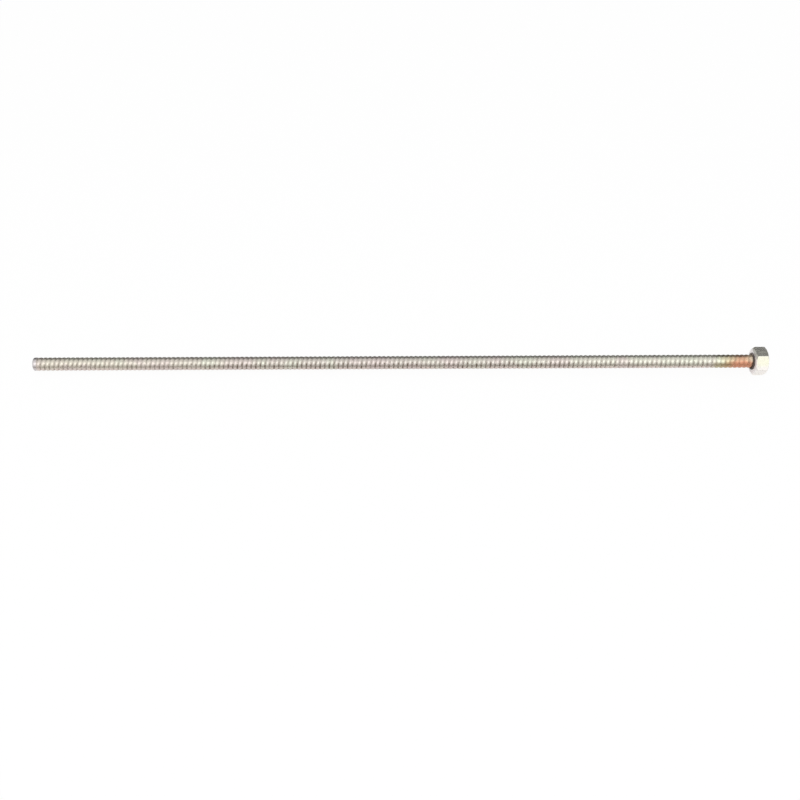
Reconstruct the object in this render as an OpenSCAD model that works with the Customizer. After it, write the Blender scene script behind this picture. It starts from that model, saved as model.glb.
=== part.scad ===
// Threaded rod with a hexagon nut welded on its end, lying along X.
// The origin is on the rod's axis, in the plane of the nut's inner face.
// The rod runs from there towards -X, the nut towards +X, and two flats of the nut face up and down.

/* [Rod] */
// Length of thread that shows, from the free end to the nut's inner face
free_len = 663.5; // [250:0.5:850]
// Major diameter of the thread, over its crests
rod_d = 12.3; // [9:0.1:14]
// Pitch of the single-start thread
thread_pitch = 4.233; // [2.5:0.001:6]
// Depth of the thread, from crest to root
thread_depth = 0.5; // [0.4:0.05:1.6]
// Hand of the thread: -1 is left-hand, 1 is right-hand
thread_hand = -1; // [-1, 1]
// Plain tip at the root diameter, at each end of the rod
tip_len = 0.4; // [0.2:0.05:2]
// Turns over which the thread rises from the tip to its full depth
run_in_turns = 1; // [0.5:0.1:3]

/* [Nut] */
// Width across the flats
nut_af = 23.2; // [20:0.1:30]
// Thickness of the nut along the rod
nut_t = 11.6; // [6:0.1:20]
// Diameter of the flat circle that the chamfer leaves on each end face
nut_face_d = 22; // [18:0.1:23]
// Angle of the corner chamfer, from the end face
nut_chamfer_angle = 30; // [15:1:45]
// Depth of the countersink round the bore, on the outer face
nut_countersink = 0.6; // [0.3:0.1:1.5]

/* [Weld] */
// Height of the weld bead above the nut's bore
bead_height = 1.7; // [1.2:0.05:2.6]
// Width of the bead along the rod
bead_w = 1.2; // [0.8:0.1:2.2]

/* [Fit] */
// Radial clearance from the thread's crests to the nut and to the bead
rod_fit = 0.05; // [0.02:0.01:0.3]

/* [Hidden] */
$fn = 96;

rod_len = free_len + nut_t;
crest_r = rod_d / 2;
root_r = crest_r - thread_depth;
bore_r = crest_r + rod_fit;
nut_face_r = nut_face_d / 2;
nut_corner_r = nut_af / 2 / cos(30);

// The thread is a faceted helix: finer on a short rod, coarser on a long one.
thread_facets = 11600;
facets_per_step = 4;
fewest_steps = 6;
steps_per_turn = max(fewest_steps,
    floor(thread_facets / (facets_per_step * rod_len / thread_pitch)));
step_len = thread_pitch / steps_per_turn;
steps = floor((rod_len - 2 * tip_len) / step_len);
crest_steps = steps - steps_per_turn;
first_step_x = (rod_len - steps * step_len) / 2;
first_rise = 0.15;

// A point on the rod, at a distance x along it and at a step's angle round it.
function round_point(x, r, step) =
    let (a = thread_hand * 360 * step / steps_per_turn)
    [x, r * cos(a), r * sin(a)];

// The share of the full depth that the crest has, a number of steps from the thread's end.
function rise(step) =
    min(1, first_rise + (1 - first_rise) * step / (run_in_turns * steps_per_turn));

root_line = [for (i = [0:steps]) round_point(first_step_x + i * step_len, root_r, i)];
crest_line = [for (i = [0:crest_steps])
    round_point(first_step_x + i * step_len + thread_pitch / 2,
        root_r + thread_depth * min(rise(i), rise(crest_steps - i)), i)];
start_rim = [for (i = [0:steps_per_turn - 1]) round_point(0, root_r, i)];
start_ring = [for (i = [1:steps_per_turn - 1]) round_point(first_step_x, root_r, i)];
end_ring = [for (i = [1:steps_per_turn - 1])
    round_point(rod_len - first_step_x, root_r, crest_steps + i)];
end_rim = [for (i = [0:steps_per_turn - 1]) round_point(rod_len, root_r, crest_steps + i)];
rod_points = concat(root_line, crest_line, start_rim, start_ring, end_ring, end_rim);

// Where each kind of point is in rod_points. A ring's first point is the end of the root line.
first_crest = len(root_line);
first_start_rim = first_crest + len(crest_line);
first_start_ring = first_start_rim + len(start_rim);
first_end_ring = first_start_ring + len(start_ring);
first_end_rim = first_end_ring + len(end_ring);

function root(i) = i;
function crest(i) = first_crest + i;
function start_rim_at(i) = first_start_rim + i % steps_per_turn;
function end_rim_at(i) = first_end_rim + i % steps_per_turn;
function start_ring_at(i) = i % steps_per_turn == 0 ? root(0) : first_start_ring + i - 1;
function end_ring_at(i) = i % steps_per_turn == 0 ? root(steps) : first_end_ring + i - 1;
function in_two(a, b, c, d) = [[a, b, c], [a, c, d]];
function turned(faces) = thread_hand < 0 ? faces : [for (f = faces) [f[2], f[1], f[0]]];

flank_faces = [for (i = [0:crest_steps - 1]) each concat(
    in_two(root(i), root(i + 1), crest(i + 1), crest(i)),
    in_two(crest(i), crest(i + 1), root(i + 1 + steps_per_turn), root(i + steps_per_turn)))];
thread_ends = [
    [root(0), crest(0), root(steps_per_turn)],
    [root(crest_steps), root(steps), crest(crest_steps)]];
start_wedge = concat(
    [[start_ring_at(0), start_ring_at(1), root(1)]],
    [for (i = [1:steps_per_turn - 1]) each
        in_two(start_ring_at(i), start_ring_at(i + 1), root(i + 1), root(i))]);
end_wedge = concat(
    [for (i = [0:steps_per_turn - 2]) each
        in_two(root(crest_steps + i), root(crest_steps + i + 1), end_ring_at(i + 1), end_ring_at(i))],
    [[root(steps - 1), root(steps), end_ring_at(steps_per_turn - 1)]]);
tip_faces = [for (i = [0:steps_per_turn - 1]) each concat(
    in_two(start_rim_at(i), start_rim_at(i + 1), start_ring_at(i + 1), start_ring_at(i)),
    in_two(end_ring_at(i), end_ring_at(i + 1), end_rim_at(i + 1), end_rim_at(i)))];
cap_faces = [for (i = [1:steps_per_turn - 2]) each [
    [start_rim_at(0), start_rim_at(i + 1), start_rim_at(i)],
    [end_rim_at(0), end_rim_at(i), end_rim_at(i + 1)]]];
rod_faces = turned(concat(
    flank_faces, thread_ends, start_wedge, end_wedge, tip_faces, cap_faces));

// The bar itself, with one continuous thread from end to end.
module threaded_rod() {
    color("#c8c3b2")
    translate([-free_len, 0, 0])
    polyhedron(points = rod_points, faces = rod_faces, convexity = 10);
}

// Outline of the turned envelope that chamfers the nut's corners, from the axis outwards.
module chamfer_outline() {
    reach = nut_corner_r + 1;
    drop = (reach - nut_face_r) * tan(nut_chamfer_angle);
    polygon([
        [0, 0],
        [nut_face_r, 0],
        [reach, drop],
        [reach, nut_t - drop],
        [nut_face_r, nut_t],
        [0, nut_t]]);
}

// The nut, with its flats up and down, a plain bore that the rod fills and a countersunk outer face.
module hex_nut() {
    color("#ece9dc")
    rotate([0, 90, 0])
    difference() {
        intersection() {
            rotate([0, 0, 30])
            cylinder(r = nut_corner_r, h = nut_t, $fn = 6);
            rotate_extrude()
            chamfer_outline();
        }
        translate([0, 0, -1])
        cylinder(r = bore_r, h = nut_t + 2);
        translate([0, 0, nut_t - nut_countersink])
        cylinder(r1 = bore_r, r2 = bore_r + 2 * nut_countersink, h = 2 * nut_countersink);
    }
}

// Section of the bead: it sits on the nut's face and is rounded on its outside.
module bead_section() {
    translate([bore_r, 0])
    square([bead_height - bead_w / 2, bead_w]);
    translate([bore_r + bead_height - bead_w / 2, bead_w / 2])
    circle(r = bead_w / 2);
}

// The narrow dark ring of weld round the rod, against the nut's inner face.
module weld_bead() {
    color("#5b4e47")
    translate([-bead_w, 0, 0])
    rotate([0, 90, 0])
    rotate_extrude()
    bead_section();
}

threaded_rod();
hex_nut();
weld_bead();
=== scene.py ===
# %% [markdown]
# # A threaded rod with a nut welded on its end
#
# The real object is a long steel bar with one coarse thread rolled along all of it. A hexagon nut is
# flush with its right end, and a narrow ring of weld, dark with heat scale, holds the nut in place.
# The whole is zinc plated. Beside the weld the plating has burnt to yellow-green and then to orange.
#
# The solids, their sizes and their places come from the frame. This lesson gives each of the three
# pieces its fine form and its finish, and then sets up a plain white studio round them.

# %% Load the frame
import math

import bmesh
import bpy
from mathutils import Matrix, Vector


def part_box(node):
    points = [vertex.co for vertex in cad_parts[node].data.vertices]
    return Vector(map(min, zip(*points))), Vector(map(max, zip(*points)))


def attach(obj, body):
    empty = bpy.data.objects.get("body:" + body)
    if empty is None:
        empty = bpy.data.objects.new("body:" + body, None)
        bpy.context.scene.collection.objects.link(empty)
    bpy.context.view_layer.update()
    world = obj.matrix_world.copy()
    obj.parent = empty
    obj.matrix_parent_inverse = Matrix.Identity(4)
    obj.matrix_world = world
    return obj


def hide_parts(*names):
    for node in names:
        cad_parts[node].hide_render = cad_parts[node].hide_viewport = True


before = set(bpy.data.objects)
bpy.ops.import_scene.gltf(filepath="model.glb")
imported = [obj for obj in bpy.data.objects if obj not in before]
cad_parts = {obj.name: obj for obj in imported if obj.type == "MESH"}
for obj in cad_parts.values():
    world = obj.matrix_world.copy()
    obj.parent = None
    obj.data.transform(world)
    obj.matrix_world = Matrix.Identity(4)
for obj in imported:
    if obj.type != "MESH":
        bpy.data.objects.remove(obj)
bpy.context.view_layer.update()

# %% [markdown]
# ## Sizes
#
# Blender works in metres, so a millimetre gets a name. What the frame holds is read from its boxes:
# how far the rod reaches, how thick it is over its crests, and where the nut and the weld ring lie.
# Only what a box can't tell is written here, such as the pitch and the depth of the thread.

# %% Sizes of the three pieces
mm = 0.001

rod_low, rod_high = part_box("threaded_rod")
nut_low, nut_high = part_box("hex_nut")
weld_low, weld_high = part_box("weld_bead")

rod_start = rod_low.x
rod_length = rod_high.x - rod_low.x
crest_radius = rod_high.y
nut_start = nut_low.x
nut_thickness = nut_high.x - nut_low.x
nut_half_flats = nut_high.z
weld_width = weld_high.x - weld_low.x
weld_radius = weld_high.z

thread_pitch = 4.233 * mm
thread_depth = 0.5 * mm
thread_hand = -1.0
thread_offset = 0.44 * mm
bore_gap = 0.05 * mm
bore_radius = crest_radius + bore_gap

print(f"rod {rod_length / mm:.1f} mm long, {2 * crest_radius / mm:.1f} mm thick, "
      f"{rod_length / thread_pitch:.0f} turns of thread")
print(f"nut {2 * nut_half_flats / mm:.1f} mm across flats, {nut_thickness / mm:.1f} mm thick")

# %% [markdown]
# ## Small helpers for node trees
#
# Geometry and shader trees are both built from many small nodes. Small helpers keep that short: `wire`
# links a socket or gives it a plain value, and `calc` adds one Math node and hands back its output,
# so a formula reads almost as it would on paper. `remap` turns a stretch of one value into a mask. Such
# a stretch is kept below as a named pair: where the mask starts, and where it is complete.

# %% Node helpers
def wire(tree, socket, value):
    """Link a socket to another node's output, or give it a plain value."""
    if isinstance(value, bpy.types.NodeSocket):
        tree.links.new(value, socket)
    else:
        socket.default_value = value


def calc(tree, operation, *values):
    """One Math node, with its result."""
    node = tree.nodes.new("ShaderNodeMath")
    node.operation = operation
    for socket, value in zip(node.inputs, values):
        wire(tree, socket, value)
    return node.outputs["Value"]


def product(tree, first, *others):
    """Several values multiplied together."""
    for value in others:
        first = calc(tree, "MULTIPLY", first, value)
    return first


def distance_to(tree, value, place):
    """How far a value is from a place, on either side of it."""
    return calc(tree, "ABSOLUTE", calc(tree, "SUBTRACT", value, place))


def coordinates(tree, vector):
    """The X, Y and Z of a vector."""
    node = tree.nodes.new("ShaderNodeSeparateXYZ")
    wire(tree, node.inputs[0], vector)
    return node.outputs


def remap(tree, value, low, high, to_low=0.0, to_high=1.0):
    """A Map Range node: value from low..high becomes to_low..to_high, smoothly, held at both ends."""
    node = tree.nodes.new("ShaderNodeMapRange")
    node.interpolation_type = "SMOOTHSTEP"
    node.clamp = True
    for name, number in (("Value", value), ("From Min", low), ("From Max", high),
                         ("To Min", to_low), ("To Max", to_high)):
        wire(tree, node.inputs[name], number)
    return node.outputs["Result"]


def noise(tree, vector, scale, detail=3.0, roughness=0.5):
    """A Noise Texture's value, near 0.5 on average."""
    node = tree.nodes.new("ShaderNodeTexNoise")
    for name, number in (("Vector", vector), ("Scale", scale), ("Detail", detail),
                         ("Roughness", roughness)):
        wire(tree, node.inputs[name], number)
    return node.outputs[0]


def add_sockets(tree, inputs, outputs):
    """Named sockets of a group. Each entry is a name, a socket type and a default, if it has one."""
    for side, sockets in (("INPUT", inputs), ("OUTPUT", outputs)):
        for name, kind, *default in sockets:
            socket = tree.interface.new_socket(name, in_out=side, socket_type=kind)
            if default:
                socket.default_value = default[0]


# %% [markdown]
# ## Finishes: effects that several materials share
#
# Three effects are on more than one piece, so each is a node group, built once. `plating` drifts the
# colour of zinc towards faint green and faint pink, as thin yellow passivation does. `grime_and_shade`
# lays a darker colour in cloudy patches of dirt, and more where a mask says. On the rod that mask is the
# groove, where the darker colour is partly a painted shade. `fine_marks` makes the small bumps and dull
# spots of handled metal. All of them read Object coordinates, so the pattern stays on the piece.

# %% Plating group
def object_point(tree):
    """Where on the piece the shader is."""
    return tree.nodes.new("ShaderNodeTexCoord").outputs["Object"]


def mixed(tree, factor, first, second):
    """A colour between two others."""
    node = tree.nodes.new("ShaderNodeMix")
    node.data_type = "RGBA"
    wire(tree, node.inputs["Factor"], factor)
    wire(tree, node.inputs["A"], first)
    wire(tree, node.inputs["B"], second)
    return node.outputs["Result"]


def shader_group(name, inputs, outputs):
    """An empty shader group, with the ends that its nodes are wired to."""
    tree = bpy.data.node_groups.new(name, "ShaderNodeTree")
    add_sockets(tree, inputs, outputs)
    entry = tree.nodes.new("NodeGroupInput").outputs
    leave = tree.nodes.new("NodeGroupOutput").inputs
    return tree, entry, leave


green_patches = (0.5, 0.68)
pink_patches = (0.5, 0.34)


def build_plating():
    tree, entry, leave = shader_group(
        "plating",
        [("Zinc", "NodeSocketColor"), ("Green", "NodeSocketColor"), ("Pink", "NodeSocketColor"),
         ("Patch Scale", "NodeSocketFloat", 60.0), ("Strength", "NodeSocketFloat", 0.5)],
        [("Color", "NodeSocketColor")])
    cloud = noise(tree, object_point(tree), entry["Patch Scale"])
    to_green = product(tree, remap(tree, cloud, *green_patches), entry["Strength"])
    to_pink = product(tree, remap(tree, cloud, *pink_patches), entry["Strength"])
    greenish = mixed(tree, to_green, entry["Zinc"], entry["Green"])
    wire(tree, leave["Color"], mixed(tree, to_pink, greenish, entry["Pink"]))
    return tree


plating = build_plating()
print("group:", plating.name)

# %% Grime and shade group
loose_patches = (0.45, 0.7)
mask_patches = (0.25, 0.6)


def build_grime_and_shade():
    tree, entry, leave = shader_group(
        "grime_and_shade",
        [("Color", "NodeSocketColor"), ("Dirt", "NodeSocketColor"),
         ("Scale", "NodeSocketFloat", 300.0), ("Amount", "NodeSocketFloat", 0.3),
         ("Mask", "NodeSocketFloat", 0.0)],
        [("Color", "NodeSocketColor"), ("Dirtiness", "NodeSocketFloat")])
    cloud = noise(tree, object_point(tree), entry["Scale"], 4.0, 0.6)
    loose = product(tree, remap(tree, cloud, *loose_patches), entry["Amount"])
    # On the rod the mask is the groove, so this part is partly dirt and partly painted shade.
    masked_dirt_and_shade = product(tree, entry["Mask"], remap(tree, cloud, *mask_patches))
    dirtiness = calc(tree, "MINIMUM", calc(tree, "ADD", loose, masked_dirt_and_shade), 1.0)
    wire(tree, leave["Color"], mixed(tree, dirtiness, entry["Color"], entry["Dirt"]))
    wire(tree, leave["Dirtiness"], dirtiness)
    return tree


grime_and_shade = build_grime_and_shade()
print("group:", grime_and_shade.name)

# %% Fine marks group
grain_to_dull = (0.3, 0.7)


def build_fine_marks():
    tree, entry, leave = shader_group(
        "fine_marks",
        [("Scale", "NodeSocketFloat", 900.0), ("Stretch", "NodeSocketVector", (1.0, 1.0, 1.0)),
         ("Dull Least", "NodeSocketFloat", 0.25), ("Dull Most", "NodeSocketFloat", 0.45)],
        [("Height", "NodeSocketFloat"), ("Roughness", "NodeSocketFloat")])
    stretched = tree.nodes.new("ShaderNodeVectorMath")
    stretched.operation = "MULTIPLY"
    wire(tree, stretched.inputs[0], object_point(tree))
    wire(tree, stretched.inputs[1], entry["Stretch"])
    grain = noise(tree, stretched.outputs["Vector"], entry["Scale"], roughness=0.6)
    wire(tree, leave["Height"], grain)
    wire(tree, leave["Roughness"],
         remap(tree, grain, *grain_to_dull, entry["Dull Least"], entry["Dull Most"]))
    return tree


fine_marks = build_fine_marks()
print("group:", fine_marks.name)

# %% [markdown]
# ## Finishes: one material for each piece
#
# A material starts with a Principled BSDF, the shader that holds what is the same all over, such as
# how metallic the surface is. What changes over the surface comes from the groups. The helper below
# adds one group with its values, so each material is a short list of layers.

# %% Material helpers
def start_material(name, metallic):
    """A material with a Principled BSDF of that much metal, its node tree and the shader."""
    material = bpy.data.materials.new(name)
    material.use_nodes = True
    tree = material.node_tree
    shader = tree.nodes["Principled BSDF"]
    shader.inputs["Metallic"].default_value = metallic
    return material, tree, shader


def layer(tree, group, **values):
    """One shared group with its values, named by its sockets with _ for a space."""
    node = tree.nodes.new("ShaderNodeGroup")
    node.node_tree = group
    for name, value in values.items():
        wire(tree, node.inputs[name.replace("_", " ")], value)
    return node.outputs


def bump(tree, shader, height, distance):
    """Small relief from a height."""
    node = tree.nodes.new("ShaderNodeBump")
    node.inputs["Strength"].default_value = 1.0
    node.inputs["Distance"].default_value = distance
    wire(tree, node.inputs["Height"], height)
    wire(tree, shader.inputs["Normal"], node.outputs["Normal"])


# %% [markdown]
# ### The rod's plating
#
# The zinc is warm cream at the free end, plainer in the middle and palest towards the nut, so one
# colour hands over to the next along X. Low on the bar it is rosier. The groove is painted dark brown,
# partly real dirt and partly painted shade in the recess. The geometry tree stores how deep in the
# groove each point lies, as an attribute called `groove`, and the material reads it. This painted
# darkening is strongest along the sides, weaker on top and underneath, and stronger in mid-bar than
# near the ends. At both ends the saw and the file have left a little bare steel. A painted picture could
# be wrapped round the bar as well, but masks along X and Z need no unwrapping, and they stay sharp from
# near.

# %% Rod colours
zinc_warm = (0.66, 0.62, 0.53, 1.0)
zinc_plain = (0.60, 0.56, 0.51, 1.0)
zinc_pale = (0.68, 0.67, 0.58, 1.0)
zinc_green = (0.62, 0.65, 0.54, 1.0)
zinc_pink = (0.64, 0.55, 0.53, 1.0)
zinc_rosy = (0.72, 0.60, 0.55, 1.0)
bare_steel = (0.58, 0.55, 0.56, 1.0)
# The groove's colour: partly real dirt, partly painted shade in the recess.
dirt_and_shade_brown = (0.17, 0.13, 0.10, 1.0)

rod_middle = rod_start + 0.5 * rod_length
warm_to_plain = (rod_start, rod_start + 0.45 * rod_length)
plain_to_pale = (rod_start + 0.6 * rod_length, rod_start + 0.85 * rod_length)
to_rosy_underside = (1.2 * mm, -2.0 * mm)
most_rosy = 0.8

# How the painted groove shade and dirt are spread: less on top and underneath, and less near the ends.
groove_to_dark = (0.3, 1.0)
most_groove_dark = 0.88
less_on_top = (5.6 * mm, 2.6 * mm)
top_share = 0.3
less_underneath = (-4.5 * mm, -1.5 * mm)
underside_share = 0.4
less_towards_ends = (0.15 * rod_length, 0.4 * rod_length)
ends_share = 0.68
bare_reach = 3.6 * mm


def rod_zinc_color(tree, place):
    """The zinc's own colour, handed over along the rod, with the plating's green and pink."""
    free_half = mixed(tree, remap(tree, place["X"], *warm_to_plain), zinc_warm, zinc_plain)
    above = mixed(tree, remap(tree, place["X"], *plain_to_pale), free_half, zinc_pale)
    underneath = remap(tree, place["Z"], *to_rosy_underside, 0.0, most_rosy)
    base = mixed(tree, underneath, above, zinc_rosy)
    return layer(tree, plating, Zinc=base, Green=zinc_green, Pink=zinc_pink,
                 Patch_Scale=45.0, Strength=0.6)["Color"]


def groove_dirt_and_shade(tree, groove, place):
    """How dark the groove is painted, partly dirt and partly painted shade: most on the sides, less on top
    and underneath, and more in mid-bar than near the ends.
    """
    top_fade = remap(tree, place["Z"], *less_on_top, top_share, 1.0)
    underside_fade = remap(tree, place["Z"], *less_underneath, underside_share, 1.0)
    held = remap(tree, distance_to(tree, place["X"], rod_middle), *less_towards_ends, 1.0, ends_share)
    deep = remap(tree, groove, *groove_to_dark, 0.0, most_groove_dark)
    return product(tree, top_fade, underside_fade, held, deep)


print("bare steel at each end:", bare_reach / mm, "mm")

# %% [markdown]
# ### The heat tint
#
# Steel that has been near a weld shows oxide colours in bands, by how hot each place became. Here they
# run from the nut outwards: brown beside the weld, peach and orange, straw, and then a pale green where
# the tint fades out. Above they are painted paler, a painted highlight over the oxide, and low on the
# bar they are deeper. Two colour ramps over the distance from the nut hold the bands, one for above and
# one for below, and noise makes their edges wander. So the cause, the distance from the heat, stays in
# the material, and a band moves when its one number does.

# %% Heat tint
tint_brown = (0.30, 0.17, 0.11, 1.0)
tint_tan = (0.66, 0.58, 0.45, 1.0)
tint_peach = (0.72, 0.54, 0.36, 1.0)
tint_copper = (0.65, 0.37, 0.22, 1.0)
tint_orange = (0.62, 0.24, 0.12, 1.0)
tint_straw = (0.65, 0.56, 0.36, 1.0)
tint_amber = (0.50, 0.34, 0.18, 1.0)
tint_pale = (0.69, 0.71, 0.55, 1.0)
tint_olive = (0.48, 0.43, 0.25, 1.0)

# Above, the bands are paler: a painted highlight over the oxide colours.
highlit_bands_above = [(0, tint_tan), (4, tint_peach), (9, tint_copper), (15, tint_copper),
               (22, tint_straw), (32, tint_pale)]
bands_below = [(0, tint_brown), (4, tint_orange), (16, tint_orange), (24, tint_amber),
               (32, tint_olive)]
tint_reach = 41 * mm
tint_fade = (tint_reach, 0.75 * tint_reach)
most_tint = 0.9
orange_reach = 25 * mm
orange_fade = (orange_reach, 0.6 * orange_reach)
to_low_side = (4.7 * mm, 2.5 * mm)
out_of_nut = (6.0 * mm, 3.0 * mm)
drift_size = 150.0
wander_along = 10 * mm
wander_up = 6 * mm


def color_bands(tree, distance, bands):
    """A Color Ramp whose stops lie at these distances, in millimetres."""
    node = tree.nodes.new("ShaderNodeValToRGB")
    wire(tree, node.inputs["Fac"], calc(tree, "DIVIDE", distance, tint_reach))
    stops = node.color_ramp.elements
    while len(stops) < len(bands):
        stops.new(1.0)
    for stop, (place, color) in zip(stops, bands):
        stop.position = place * mm / tint_reach
        stop.color = color
    return node.outputs["Color"]


def heat_tint(tree, drift, place):
    """The tint's colour, how much of it there is, and how much is burnt orange. None inside the nut."""
    away = calc(tree, "SUBTRACT", product(tree, drift, wander_along), place["X"])
    height = calc(tree, "MULTIPLY_ADD", drift, wander_up, place["Z"])
    color = mixed(tree, remap(tree, height, *to_low_side), color_bands(tree, away, highlit_bands_above),
                  color_bands(tree, away, bands_below))
    outside = remap(tree, place["X"], *out_of_nut)
    tinted = product(tree, outside, remap(tree, away, *tint_fade, 0.0, most_tint))
    burnt = product(tree, outside, remap(tree, away, *orange_fade))
    return color, tinted, burnt


print("tint reaches", tint_reach / mm, "mm from the nut, and orange", orange_reach / mm, "mm")

# %% [markdown]
# ### Scorch marks and painted shade
#
# Where it was hottest, the steel is also scorched nearly black, in the grooves and in small blots of the
# orange stretch. A painted shade runs evenly along the bar's back, where it darkens the rod's top edge.
# It is faint over the whole tint, and full in the orange. A mask for each of the three is made below, and
# the strongest one counts at each place. Right beside the weld, a mask by the distance along X holds the
# marks and the painted shade back.

# %% Scorch marks and painted shade
# The colour of the scorch, and of the painted shade along the back.
char_and_shade_brown = (0.11, 0.08, 0.06, 1.0)
char_and_shade_share = 0.7
back_shade_wander = 4 * mm
# The back band is a painted shade that darkens the rod's top edge.
to_shaded_back = (-1.6 * mm, 0.0)
faint_back_shade_share = 0.85
blot_size = 330.0
blot_patches = (0.58, 0.7)
groove_to_charred = (0.4, 1.0)
most_groove_char = 0.8
to_charred_top = (3.3 * mm, 4.9 * mm)
top_patch_size = 110.0
top_patches = (0.4, 0.6)
away_from_weld = (-3.0 * mm, -7.0 * mm)
weld_side_share = 0.2


def char_and_shade_marks(tree, point, drift, groove, place, tinted, burnt):
    """Painted shade along the back, faint over the whole tint, and in the orange stronger, with scorch in
    the grooves and in blots.
    """
    back = remap(tree, calc(tree, "MULTIPLY_ADD", drift, back_shade_wander, place["Y"]), *to_shaded_back)
    faint = product(tree, back, faint_back_shade_share, tinted)
    blots = remap(tree, noise(tree, point, blot_size), *blot_patches)
    grooves = product(tree, remap(tree, groove, *groove_to_charred, 0.0, most_groove_char),
                      remap(tree, place["Z"], *to_charred_top),
                      remap(tree, noise(tree, point, top_patch_size, 1.0), *top_patches))
    marks = calc(tree, "MAXIMUM", back, calc(tree, "MAXIMUM", blots, grooves))
    weld_side_fade = remap(tree, place["X"], *away_from_weld, weld_side_share, 1.0)
    return calc(tree, "MAXIMUM", faint, product(tree, marks, burnt, weld_side_fade))


print("scorch marks cover up to", char_and_shade_share, "of the colour")

# %% [markdown]
# ### The rod's material
#
# The layers go on one over the other: zinc, heat tint, dirt with painted shade in the groove, the bare
# ends, and the scorch marks with a painted shade over all. Burnt oxide isn't metal, so the metallic
# value drops where the bar is orange. The dirt and the painted groove shade make the surface duller, and
# the grain of the zinc gives it a faint relief.

# %% Rod material
zinc_metal = 0.85
burnt_metal = 0.5
bare_fade = (bare_reach, 0.8 * bare_reach)
most_bare = 0.85
dirt_and_shade_left_in_tint = 0.3
dirt_dullness = 0.2
zinc_relief = 0.03 * mm


def rod_finish():
    material, tree, shader = start_material("rod_zinc", zinc_metal)
    point = object_point(tree)
    place = coordinates(tree, point)
    stored = tree.nodes.new("ShaderNodeAttribute")
    stored.attribute_name = "groove"
    groove = stored.outputs["Fac"]
    drift = calc(tree, "SUBTRACT", noise(tree, point, drift_size), 0.5)

    tint, tinted, burnt = heat_tint(tree, drift, place)
    # Dirt and painted shade in the groove, less inside the heat tint.
    masked_dirt_and_shade = product(tree, groove_dirt_and_shade(tree, groove, place),
                     remap(tree, tinted, 0.0, 1.0, 1.0, dirt_and_shade_left_in_tint))
    dirt_and_shade_layer = layer(tree, grime_and_shade, Color=mixed(tree, tinted, rod_zinc_color(tree, place), tint),
                  Dirt=dirt_and_shade_brown, Scale=420.0, Amount=0.1, Mask=masked_dirt_and_shade)
    to_end = calc(tree, "MINIMUM", calc(tree, "SUBTRACT", place["X"], rod_start),
                  calc(tree, "SUBTRACT", rod_start + rod_length, place["X"]))
    bare = remap(tree, to_end, *bare_fade, 0.0, most_bare)
    ends = mixed(tree, bare, dirt_and_shade_layer["Color"], bare_steel)
    # Scorch marks, with the painted shade along the back.
    charred_and_shaded = char_and_shade_marks(tree, point, drift, groove, place, tinted, burnt)
    wire(tree, shader.inputs["Base Color"],
         mixed(tree, product(tree, charred_and_shaded, char_and_shade_share), ends, char_and_shade_brown))
    wire(tree, shader.inputs["Metallic"], remap(tree, burnt, 0.0, 1.0, zinc_metal, burnt_metal))

    marks = layer(tree, fine_marks, Scale=700.0, Dull_Least=0.34, Dull_Most=0.46)
    duller = product(tree, dirt_and_shade_layer["Dirtiness"], dirt_dullness)
    wire(tree, shader.inputs["Roughness"], calc(tree, "ADD", marks["Roughness"], duller))
    bump(tree, shader, marks["Height"], zinc_relief)
    return material


rod_zinc = rod_finish()
print("material:", rod_zinc.name)

# %% [markdown]
# ### The nut's plating
#
# The nut is brighter and cleaner than the rod. Its flats are cream above and rosier below, with the
# faint lines of drawn bar along X. Its end faces are painted paler, a painted light against the shade
# and dark reflection of the weld ring and the rod, and greyer on top. A mask by the distance along X
# takes some of the metal away there. One material with masks does for the whole nut, where separate
# ones for flats and faces would show a hard line at the chamfer.

# %% Nut material
nut_cream = (0.90, 0.885, 0.73, 1.0)
nut_rose = (0.91, 0.875, 0.84, 1.0)
nut_plain = (0.83, 0.82, 0.74, 1.0)
nut_green = (0.85, 0.87, 0.67, 1.0)
nut_pink = (0.89, 0.84, 0.76, 1.0)
# Painted light: the end faces are made paler than zinc, against the shade of the ring and the rod.
nut_face_painted_light = (0.97, 0.945, 0.94, 1.0)
nut_face_dull = (0.60, 0.60, 0.55, 1.0)
nut_dirt = (0.50, 0.47, 0.40, 1.0)

nut_middle = nut_start + nut_thickness / 2
rose_to_cream = (2.0 * mm, 6.0 * mm)
to_top_flat = (nut_half_flats - 0.3 * mm, nut_half_flats - 0.1 * mm)
to_end_face = (nut_thickness / 2 - 0.8 * mm, nut_thickness / 2 - 0.3 * mm)
face_to_dull = (7.4 * mm, 9.5 * mm)
face_metal = 0.6
face_dullness = 0.3
nut_relief = 0.008 * mm


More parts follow.
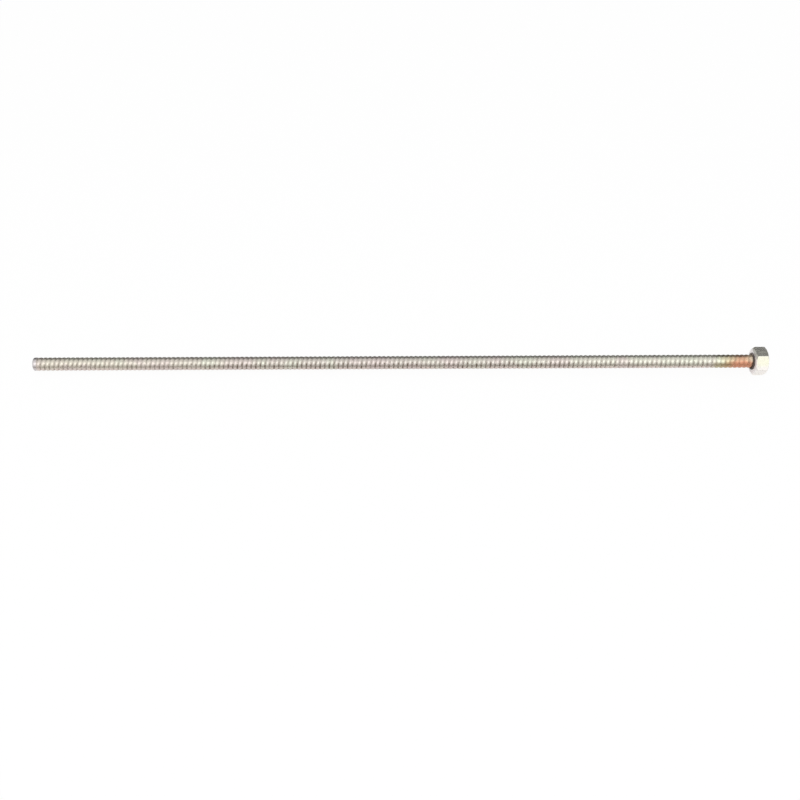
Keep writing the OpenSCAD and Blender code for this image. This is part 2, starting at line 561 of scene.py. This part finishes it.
def nut_finish():
    material, tree, shader = start_material("nut_zinc", zinc_metal)
    place = coordinates(tree, object_point(tree))
    sides = mixed(tree, remap(tree, place["Z"], *rose_to_cream), nut_rose, nut_cream)
    base = mixed(tree, remap(tree, place["Z"], *to_top_flat), sides, nut_plain)
    zinc = layer(tree, plating, Zinc=base, Green=nut_green, Pink=nut_pink,
                 Patch_Scale=90.0, Strength=0.35)["Color"]
    dirt_and_shade_layer = layer(tree, grime_and_shade, Color=zinc, Dirt=nut_dirt, Scale=240.0, Amount=0.15)
    on_face = remap(tree, distance_to(tree, place["X"], nut_middle), *to_end_face)
    # The end face's colour, painted pale as light against shade, greyer on top.
    face = mixed(tree, remap(tree, place["Z"], *face_to_dull), nut_face_painted_light, nut_face_dull)
    wire(tree, shader.inputs["Base Color"], mixed(tree, on_face, dirt_and_shade_layer["Color"], face))
    wire(tree, shader.inputs["Metallic"], remap(tree, on_face, 0.0, 1.0, zinc_metal, face_metal))
    marks = layer(tree, fine_marks, Scale=500.0, Stretch=(0.3, 1.0, 1.0),
                  Dull_Least=0.22, Dull_Most=0.38)
    wire(tree, shader.inputs["Roughness"],
         calc(tree, "ADD", marks["Roughness"], product(tree, on_face, face_dullness)))
    bump(tree, shader, marks["Height"], nut_relief)
    return material


nut_zinc = nut_finish()
print("material:", nut_zinc.name)

# %% [markdown]
# ### The weld's scale
#
# The weld is covered by brown oxide, dull and crusty, which isn't metal at all. Behind, where its top
# is seen, it is painted lighter and greyer, a painted light on the part that sits in the shade between
# the rod and the nut. It takes the same three groups as the zinc does, with other colours and a much
# stronger relief, so nothing new has to be built for it.

# %% Weld material
scale_brown = (0.075, 0.055, 0.049, 1.0)
# Painted light: the lighter colour behind, where the ring's top is seen.
scale_painted_light = (0.26, 0.22, 0.195, 1.0)
scale_green = (0.12, 0.098, 0.08, 1.0)
scale_pink = (0.13, 0.09, 0.08, 1.0)
scale_soot = (0.05, 0.04, 0.036, 1.0)
to_lighter_back = (-1.5 * mm, 2.0 * mm)
scale_relief = 0.12 * mm


def weld_finish():
    material, tree, shader = start_material("weld_oxide", 0.0)
    place = coordinates(tree, object_point(tree))
    base = mixed(tree, remap(tree, place["Y"], *to_lighter_back), scale_brown, scale_painted_light)
    oxide = layer(tree, plating, Zinc=base, Green=scale_green, Pink=scale_pink,
                  Patch_Scale=300.0, Strength=0.5)["Color"]
    sooty = layer(tree, grime_and_shade, Color=oxide, Dirt=scale_soot, Scale=900.0, Amount=0.8)
    wire(tree, shader.inputs["Base Color"], sooty["Color"])
    marks = layer(tree, fine_marks, Scale=1400.0, Dull_Least=0.6, Dull_Most=0.85)
    wire(tree, shader.inputs["Roughness"], marks["Roughness"])
    bump(tree, shader, marks["Height"], scale_relief)
    return material


weld_oxide = weld_finish()
print("material:", weld_oxide.name)

# %% [markdown]
# ## From a geometry tree to a mesh
#
# The thread and the weld ring follow rules, so Geometry Nodes make them. Each tree starts with a plain
# surface, moves its points, and ends in the same few nodes: smooth sides with flat end faces, Realize
# Instances and Set Material. The result is then kept as a plain mesh, and the modifier is removed.

# %% Mesh helpers
end_facing = 0.999


def mesh_point(tree):
    """Where each point of the mesh is."""
    return tree.nodes.new("GeometryNodeInputPosition").outputs[0]


def tube_point(tree, along, radius, angle):
    """A place given by its distance along X, and by its radius and angle round the axis."""
    node = tree.nodes.new("ShaderNodeCombineXYZ")
    wire(tree, node.inputs["X"], along)
    wire(tree, node.inputs["Y"], product(tree, radius, calc(tree, "COSINE", angle)))
    wire(tree, node.inputs["Z"], product(tree, radius, calc(tree, "SINE", angle)))
    return node.outputs[0]


def moved(tree, geometry, target):
    """The geometry with each point moved to its target."""
    node = tree.nodes.new("GeometryNodeSetPosition")
    wire(tree, node.inputs["Geometry"], geometry)
    wire(tree, node.inputs["Position"], target)
    return node.outputs["Geometry"]


def finish_tree(tree, geometry, material):
    """The end of each geometry tree: smooth sides, plain mesh, material, output."""
    smooth = tree.nodes.new("GeometryNodeSetShadeSmooth")
    realize = tree.nodes.new("GeometryNodeRealizeInstances")
    paint = tree.nodes.new("GeometryNodeSetMaterial")
    leave = tree.nodes.new("NodeGroupOutput")
    facing = coordinates(tree, tree.nodes.new("GeometryNodeInputNormal").outputs[0])
    sideways = calc(tree, "LESS_THAN", calc(tree, "ABSOLUTE", facing["X"]), end_facing)
    wire(tree, smooth.inputs["Geometry"], geometry)
    wire(tree, smooth.inputs["Shade Smooth"], sideways)
    wire(tree, realize.inputs["Geometry"], smooth.outputs["Geometry"])
    wire(tree, paint.inputs["Geometry"], realize.outputs["Geometry"])
    wire(tree, paint.inputs["Material"], material)
    wire(tree, leave.inputs["Geometry"], paint.outputs["Geometry"])


def keep_result(piece):
    """Replace an object's mesh by what its modifiers make of it, and take the modifiers off."""
    evaluated = piece.evaluated_get(bpy.context.evaluated_depsgraph_get())
    finished = bpy.data.meshes.new_from_object(evaluated)
    piece.modifiers.clear()
    piece.data = finished
    finished.name = piece.name
    triangles = sum(len(face.vertices) - 2 for face in finished.polygons)
    print(f"{piece.name}: {len(finished.vertices)} points, {triangles} triangles")
    return piece


def mesh_from_tree(name, tree, values):
    """Run a geometry tree on an empty mesh and keep the result as a plain mesh object."""
    piece = bpy.data.objects.new(name, bpy.data.meshes.new(name))
    bpy.context.scene.collection.objects.link(piece)
    modifier = piece.modifiers.new(name, "NODES")
    modifier.node_group = tree
    for item in tree.interface.items_tree:
        if item.item_type == "SOCKET" and item.in_out == "INPUT" and item.name in values:
            modifier[item.identifier] = values[item.name]
    return keep_result(piece)


# %% [markdown]
# ## The thread
#
# A rolled thread is one groove that winds along the bar, so its radius follows a rule: it depends only
# on how far along the bar a point is and on its angle round it. The tree takes a plain cylinder with many
# rings and moves each point in or out by the rule. A Screw modifier could wind a profile along the bar
# as well, but the shallow first turn and the chamfers would then need cuts. The steps:
#
# 1. turns = distance / pitch - hand x angle / a full circle, and only its fraction counts;
# 2. the fraction becomes a wave with a rounded crest and a rounded root;
# 3. the first half turn at each end is shallow, where the rolls only begin to bite;
# 4. at both ends a chamfer at 45 degrees holds the radius down, as a cut and deburred rod has.
#
# Fourteen rings a pitch keep the form round, and the piece stays under 200,000 triangles.

# %% Thread rule
wear_size = 240.0


def groove_at(tree, entry, along, angle, to_end):
    """How deep in the groove a point is, from 0 on the crest to 1 at the root."""
    turns = calc(tree, "DIVIDE", calc(tree, "SUBTRACT", along, entry["Offset"]), entry["Pitch"])
    wound = product(tree, entry["Hand"], calc(tree, "DIVIDE", angle, math.tau))
    fraction = calc(tree, "FRACT", calc(tree, "SUBTRACT", turns, wound))
    from_crest = calc(tree, "ABSOLUTE", calc(tree, "MULTIPLY_ADD", fraction, 2.0, -1.0))
    wave = remap(tree, calc(tree, "SUBTRACT", 1.0, from_crest), entry["Root Share"],
                 calc(tree, "SUBTRACT", 1.0, entry["Crest Share"]))
    half_pitch = product(tree, entry["Pitch"], 0.5)
    rolled = remap(tree, to_end, half_pitch, entry["Pitch"], entry["First Turn"], 1.0)
    return product(tree, calc(tree, "SUBTRACT", 1.0, wave), rolled)


def radius_at(tree, entry, groove, to_end):
    """The radius for a depth in the groove, worn on the crests and chamfered at the ends."""
    root = calc(tree, "SUBTRACT", entry["Crest Radius"], entry["Depth"])
    wave = calc(tree, "SUBTRACT", 1.0, groove)
    worn = product(tree, noise(tree, mesh_point(tree), wear_size), entry["Wear"])
    height = calc(tree, "SUBTRACT", product(tree, wave, entry["Depth"]), product(tree, worn, wave))
    return calc(tree, "ADD", root, calc(tree, "MINIMUM", height, to_end))


print("one turn every", thread_pitch / mm, "mm,", thread_depth / mm, "mm deep")

# %% Thread tree
def build_thread_tree():
    tree = bpy.data.node_groups.new("rolled_thread", "GeometryNodeTree")
    add_sockets(
        tree,
        [("Length", "NodeSocketFloat"), ("Start", "NodeSocketFloat"),
         ("Crest Radius", "NodeSocketFloat"), ("Depth", "NodeSocketFloat"),
         ("Pitch", "NodeSocketFloat"), ("Hand", "NodeSocketFloat"),
         ("Offset", "NodeSocketFloat"), ("Root Share", "NodeSocketFloat"),
         ("Crest Share", "NodeSocketFloat"), ("First Turn", "NodeSocketFloat"),
         ("Wear", "NodeSocketFloat"),
         ("Around", "NodeSocketInt"), ("Rings", "NodeSocketInt"),
         ("Material", "NodeSocketMaterial")],
        [("Geometry", "NodeSocketGeometry")])
    entry = tree.nodes.new("NodeGroupInput").outputs

    bar = tree.nodes.new("GeometryNodeMeshCylinder")
    bar.fill_type = "NGON"
    wire(tree, bar.inputs["Vertices"], entry["Around"])
    wire(tree, bar.inputs["Side Segments"], entry["Rings"])
    wire(tree, bar.inputs["Radius"], entry["Crest Radius"])
    wire(tree, bar.inputs["Depth"], entry["Length"])

    place = coordinates(tree, mesh_point(tree))
    angle = calc(tree, "ARCTAN2", place["Y"], place["X"])
    along = calc(tree, "ADD", place["Z"], product(tree, entry["Length"], 0.5))
    to_end = calc(tree, "MINIMUM", along, calc(tree, "SUBTRACT", entry["Length"], along))
    groove = groove_at(tree, entry, along, angle, to_end)
    radius = radius_at(tree, entry, groove, to_end)

    store = tree.nodes.new("GeometryNodeStoreNamedAttribute")
    store.data_type = "FLOAT"
    store.domain = "POINT"
    store.inputs["Name"].default_value = "groove"
    wire(tree, store.inputs["Geometry"], bar.outputs["Mesh"])
    wire(tree, store.inputs["Value"], groove)
    target = tube_point(tree, calc(tree, "ADD", along, entry["Start"]), radius, angle)
    threaded = moved(tree, store.outputs["Geometry"], target)
    finish_tree(tree, threaded, entry["Material"])
    return tree


rolled_thread = build_thread_tree()
print("tree:", rolled_thread.name, len(rolled_thread.nodes), "nodes")

# %% Thread piece
rings_per_pitch = 14
points_around = 40

thread_body = mesh_from_tree("thread_body", rolled_thread, {
    "Length": rod_length,
    "Start": rod_start,
    "Crest Radius": crest_radius,
    "Depth": thread_depth,
    "Pitch": thread_pitch,
    "Hand": thread_hand,
    "Offset": thread_offset,
    "Root Share": 0.08,
    "Crest Share": 0.2,
    "First Turn": 0.25,
    "Wear": 0.06 * mm,
    "Around": points_around,
    "Rings": round(rings_per_pitch * rod_length / thread_pitch),
    "Material": rod_zinc,
})
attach(thread_body, "root")
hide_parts("threaded_rod")

# %% [markdown]
# ## The nut
#
# A nut is a hexagon whose corners are cut back by a shallow cone at both ends, which leaves an arc on
# each flat. Seen along the axis, the hexagon's reach at each angle is known, and so is the depth at
# which the cone meets it. So the nut is a closed strip of seven rings of points, one formula each, and
# no boolean is needed. A small bevel then rounds the edges, where the light catches real metal.

# %% Nut piece
nut_face_radius = 11.0 * mm
nut_chamfer = math.radians(30)
countersink = 0.6 * mm
points_per_flat = 16
edge_round = 0.22 * mm
sharp_edge = math.radians(20)


def nut_stations(angle):
    """Distance along X and radius of each ring's point at one angle, round the section."""
    sixth = math.radians(60)
    from_flat = angle % sixth - sixth / 2
    reach = nut_half_flats / math.cos(from_flat)
    drop = (reach - nut_face_radius) * math.tan(nut_chamfer)
    inner = [(0, bore_radius), (0, nut_face_radius), (drop, reach)]
    outer = [(drop, reach), (0, nut_face_radius), (0, bore_radius + countersink),
             (countersink, bore_radius)]
    return inner + [(nut_thickness - along, radius) for along, radius in outer]


def make_nut():
    mesh = bmesh.new()
    columns = []
    for step in range(6 * points_per_flat):
        angle = math.tau * step / (6 * points_per_flat)
        columns.append([
            mesh.verts.new((nut_start + along, radius * math.cos(angle), radius * math.sin(angle)))
            for along, radius in nut_stations(angle)])
    for here, after in zip(columns, columns[1:] + columns[:1]):
        for ring in range(len(here)):
            following = (ring + 1) % len(here)
            mesh.faces.new((here[ring], here[following], after[following], after[ring]))
    bmesh.ops.recalc_face_normals(mesh, faces=mesh.faces)
    for face in mesh.faces:
        face.smooth = True
    nut = bpy.data.objects.new("nut_body", bpy.data.meshes.new("nut_body"))
    mesh.to_mesh(nut.data)
    mesh.free()
    nut.data.materials.append(nut_zinc)
    bpy.context.scene.collection.objects.link(nut)
    rounded = nut.modifiers.new("edge_round", "BEVEL")
    rounded.width = edge_round
    rounded.segments = 3
    rounded.limit_method = "ANGLE"
    rounded.angle_limit = sharp_edge
    rounded.harden_normals = True
    return keep_result(nut)


nut_body = make_nut()
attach(nut_body, "root")
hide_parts("hex_nut")

# %% [markdown]
# ## The weld ring
#
# Weld metal freezes in overlapping ripples as the torch goes round. The ring is a grid of points bent
# into a closed loop: one way it goes round the rod, the other way round the bead's own section. The
# ripples are a wave that leans across the bead. The grid's first and last rows meet, so Merge by
# Distance closes them. A torus would be quicker, but a bead's section is blunter than a circle.

# %% Weld tree
ripple_lean = 1.1
where_ripples_show = (-0.2, 0.8)
bluntness = 0.6
seam_gap = 0.001 * mm


def blunt(tree, wave):
    """Pull a sine or cosine towards a blunter shape, so a circle's section gets flatter sides."""
    power = calc(tree, "POWER", calc(tree, "ABSOLUTE", wave), bluntness)
    return product(tree, power, calc(tree, "SIGN", wave))


def build_weld_tree():
    tree = bpy.data.node_groups.new("weld_ring", "GeometryNodeTree")
    add_sockets(
        tree,
        [("Bore Radius", "NodeSocketFloat"), ("Outer Radius", "NodeSocketFloat"),
         ("Start", "NodeSocketFloat"), ("Width", "NodeSocketFloat"),
         ("Ripples", "NodeSocketFloat"), ("Ripple Height", "NodeSocketFloat"),
         ("Around", "NodeSocketInt"), ("Across", "NodeSocketInt"),
         ("Material", "NodeSocketMaterial")],
        [("Geometry", "NodeSocketGeometry")])
    entry = tree.nodes.new("NodeGroupInput").outputs
    sheet = tree.nodes.new("GeometryNodeMeshGrid")
    sheet.inputs["Size X"].default_value = 1.0
    sheet.inputs["Size Y"].default_value = 1.0
    wire(tree, sheet.inputs["Vertices X"], entry["Around"])
    wire(tree, sheet.inputs["Vertices Y"], entry["Across"])

    place = coordinates(tree, mesh_point(tree))
    angle = product(tree, place["X"], math.tau)
    section = product(tree, place["Y"], math.tau)
    upward = calc(tree, "COSINE", section)
    sideways = calc(tree, "SINE", section)

    lean = product(tree, sideways, ripple_lean)
    swing = calc(tree, "SINE", calc(tree, "MULTIPLY_ADD", angle, entry["Ripples"], lean))
    ripple = product(tree, calc(tree, "SUBTRACT", swing, 1.0), entry["Ripple Height"])

    half_width = product(tree, entry["Width"], 0.5)
    tall = calc(tree, "SUBTRACT", entry["Outer Radius"], entry["Bore Radius"])
    half_tall = product(tree, tall, 0.5)
    middle = calc(tree, "ADD", half_tall, entry["Bore Radius"])
    smooth_radius = calc(tree, "MULTIPLY_ADD", blunt(tree, upward), half_tall, middle)
    radius = calc(tree, "MULTIPLY_ADD", ripple, remap(tree, upward, *where_ripples_show),
                  smooth_radius)
    along = calc(tree, "MULTIPLY_ADD", blunt(tree, sideways), half_width,
                 calc(tree, "ADD", entry["Start"], half_width))

    bent = moved(tree, sheet.outputs["Mesh"], tube_point(tree, along, radius, angle))
    close = tree.nodes.new("GeometryNodeMergeByDistance")
    close.inputs["Distance"].default_value = seam_gap
    wire(tree, close.inputs["Geometry"], bent)
    finish_tree(tree, close.outputs["Geometry"], entry["Material"])
    return tree


weld_loop = build_weld_tree()
print("tree:", weld_loop.name, len(weld_loop.nodes), "nodes")

# %% Weld piece
weld_ring = mesh_from_tree("weld_ring", weld_loop, {
    "Bore Radius": bore_radius,
    "Outer Radius": weld_radius,
    "Start": weld_low.x,
    "Width": weld_width,
    "Ripples": 22.0,
    "Ripple Height": 0.12 * mm,
    "Around": 265,
    "Across": 33,
    "Material": weld_oxide,
})
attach(weld_ring, "root")
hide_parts("weld_bead")

# %% [markdown]
# ## The floor and the white background
#
# The part lies on a flat of its nut and on the tip of its free end, so it leans by half a degree. The
# part's own frame is kept, and the floor is tilted to meet it. The floor shows as white to the camera
# and in the metal, and it keeps the soft shadow under the part.

# %% Floor
tip_low = -crest_radius
flat_low = -nut_half_flats
flat_edge = nut_start + (nut_half_flats - nut_face_radius) * math.tan(nut_chamfer)
tip_chamfer = thread_depth
tip_edge = rod_start + tip_chamfer
lean_angle = math.atan2(tip_low - flat_low, flat_edge - tip_edge)
print(f"the part rests {math.degrees(lean_angle):.2f} degrees off level")

floor_size = 8.0
paper_white = (0.95, 0.95, 0.95, 1.0)
white_share = 0.94
level = Matrix.Translation((flat_edge, 0, flat_low)) @ Matrix.Rotation(lean_angle, 4, "Y")


def see_white(tree):
    """1 for rays from the camera, from gloss and through glass, 0 for the rays that light things."""
    path = tree.nodes.new("ShaderNodeLightPath").outputs
    seen = calc(tree, "MAXIMUM", path["Is Camera Ray"], path["Is Glossy Ray"])
    return calc(tree, "MAXIMUM", seen, path["Is Transmission Ray"])


def white_floor():
    """Paper that takes the shadow, under a share of plain white."""
    material = bpy.data.materials.new("white_floor")
    material.use_nodes = True
    tree = material.node_tree
    tree.nodes.clear()
    paper = tree.nodes.new("ShaderNodeBsdfDiffuse")
    paper.inputs["Color"].default_value = paper_white
    glow = tree.nodes.new("ShaderNodeEmission")
    glow.inputs["Strength"].default_value = 1.0
    blend = tree.nodes.new("ShaderNodeMixShader")
    wire(tree, blend.inputs[0], product(tree, see_white(tree), white_share))
    wire(tree, blend.inputs[1], paper.outputs[0])
    wire(tree, blend.inputs[2], glow.outputs[0])
    wire(tree, tree.nodes.new("ShaderNodeOutputMaterial").inputs["Surface"], blend.outputs[0])
    return material


def flat_card(name, width, depth, place, material):
    """A rectangle at a place of its own. It isn't part of the object."""
    mesh = bpy.data.meshes.new(name)
    corners = [(-width / 2, -depth / 2, 0), (width / 2, -depth / 2, 0),
               (width / 2, depth / 2, 0), (-width / 2, depth / 2, 0)]
    mesh.from_pydata([place @ Vector(corner) for corner in corners], [], [(0, 1, 2, 3)])
    mesh.materials.append(material)
    card = bpy.data.objects.new(name, mesh)
    bpy.context.scene.collection.objects.link(card)
    return card


flat_card("floor", floor_size, floor_size, level, white_floor())

# %% [markdown]
# ## Camera
#
# The photograph looks square on to the rod from the front and 41 degrees above level. Its lens follows
# from how far the nut's near edges shift against its far ones. The rod's place in the picture then
# gives the camera's distance and aim. The values whose names end in px are in pixels of the picture,
# which is 800 pixels wide.

# %% Camera
film_width = 36.0
picture_px = 800
focal_px = 950
view_height = math.radians(41.3)
free_end_px = 33.8
nut_face_px = 751.4
axis_row_px = 362.6
roll = math.radians(0.107)

free_length = nut_start - rod_start
px_size = free_length / (nut_face_px - free_end_px)
aim_x = nut_start - (nut_face_px - picture_px / 2) * px_size
camera_distance = focal_px * px_size
above_centre = (picture_px / 2 - axis_row_px) * px_size

look_down = view_height + math.atan(above_centre / camera_distance)
axes = Matrix.Rotation(lean_angle, 4, "Y") @ Matrix.Rotation(math.radians(90) - look_down, 4, "X")
axes = axes @ Matrix.Rotation(roll, 4, "Z")
camera_data = bpy.data.cameras.new("camera")
camera_data.sensor_width = film_width
camera_data.lens = film_width * focal_px / picture_px
camera = bpy.data.objects.new("camera", camera_data)
aim = Vector((aim_x, 0, 0))
camera.matrix_world = Matrix.Translation(aim) @ axes @ Matrix.Translation(
    (0, -above_centre, camera_distance))
bpy.context.scene.collection.objects.link(camera)
bpy.context.scene.camera = camera
print(f"camera {camera_distance / mm:.0f} mm away, lens {camera_data.lens:.1f} mm")

# %% [markdown]
# ## Light
#
# Bright metal shows its surroundings more than its own colour. In the photograph the rod's top edge and
# the nut's upper flat are dark and the front is bright, so the light is in front of the object and what
# stands behind it is dark. A wide soft lamp stands above and before the part. Three hidden cards are seen
# only by the metal: an upright one and one on the floor behind, both nearly black, and a brownish strip
# on the floor in front, which makes the darker line low on the rod. The white world does the rest.

# %% Lamp
softbox_width = 1.8
softbox_height = 1.0
softbox_power = 7.0
softbox_place = Vector((aim_x, -1.05, 1.05))


def soft_lamp(name, width, height, power, place, target):
    """A wide lamp at a place, turned to face its target."""
    lamp = bpy.data.lights.new(name, "AREA")
    lamp.shape = "RECTANGLE"
    lamp.size = width
    lamp.size_y = height
    lamp.energy = power
    holder = bpy.data.objects.new(name, lamp)
    holder.location = place
    holder.rotation_euler = (target - place).to_track_quat("-Z", "Y").to_euler()
    bpy.context.scene.collection.objects.link(holder)


soft_lamp("front_softbox", softbox_width, softbox_height, softbox_power, softbox_place, aim)

# %% Hidden cards
cloth_black = (0.03, 0.03, 0.033, 1.0)
floor_black = (0.03, 0.03, 0.028, 1.0)
floor_brown = (0.27, 0.22, 0.19, 1.0)
above_floor = 0.5 * mm


def dark_cloth(name, color):
    """A plain dull material of one colour."""
    material = bpy.data.materials.new(name)
    material.use_nodes = True
    shader = material.node_tree.nodes["Principled BSDF"]
    shader.inputs["Base Color"].default_value = color
    shader.inputs["Roughness"].default_value = 1.0
    return material


def hidden_card(name, width, depth, place, color):
    """A dark card that only the metal's reflections see."""
    card = flat_card(name, width, depth, place, dark_cloth(name, color))
    card.visible_camera = False
    card.visible_diffuse = False
    card.visible_shadow = False
    print(f"{name}: {width} by {depth} m")


def on_floor(y):
    """A place that far behind the rod, or before it where y is below 0, just above the floor."""
    return level @ Matrix.Translation((aim_x, y, above_floor))


back_wall = Matrix.Translation((aim_x, 0.9, 0.72)) @ Matrix.Rotation(math.radians(90), 4, "X")
hidden_card("back_card", 6.0, 1.4, back_wall, cloth_black)
hidden_card("back_strip", 2.0, 0.8, on_floor(0.45), floor_black)
hidden_card("front_strip", 2.0, 0.074, on_floor(-0.054), floor_brown)

# %% World
world_light = 0.85


def white_world(light):
    """White where it is seen, and light of another strength where it lights things."""
    world = bpy.data.worlds.new("studio")
    bpy.context.scene.world = world
    world.use_nodes = True
    tree = world.node_tree
    backdrop = tree.nodes["Background"]
    backdrop.inputs["Color"].default_value = (1.0, 1.0, 1.0, 1.0)
    wire(tree, backdrop.inputs["Strength"], remap(tree, see_white(tree), 0.0, 1.0, light, 1.0))


white_world(world_light)
bpy.context.scene.view_settings.view_transform = "Standard"
print("world light:", world_light)
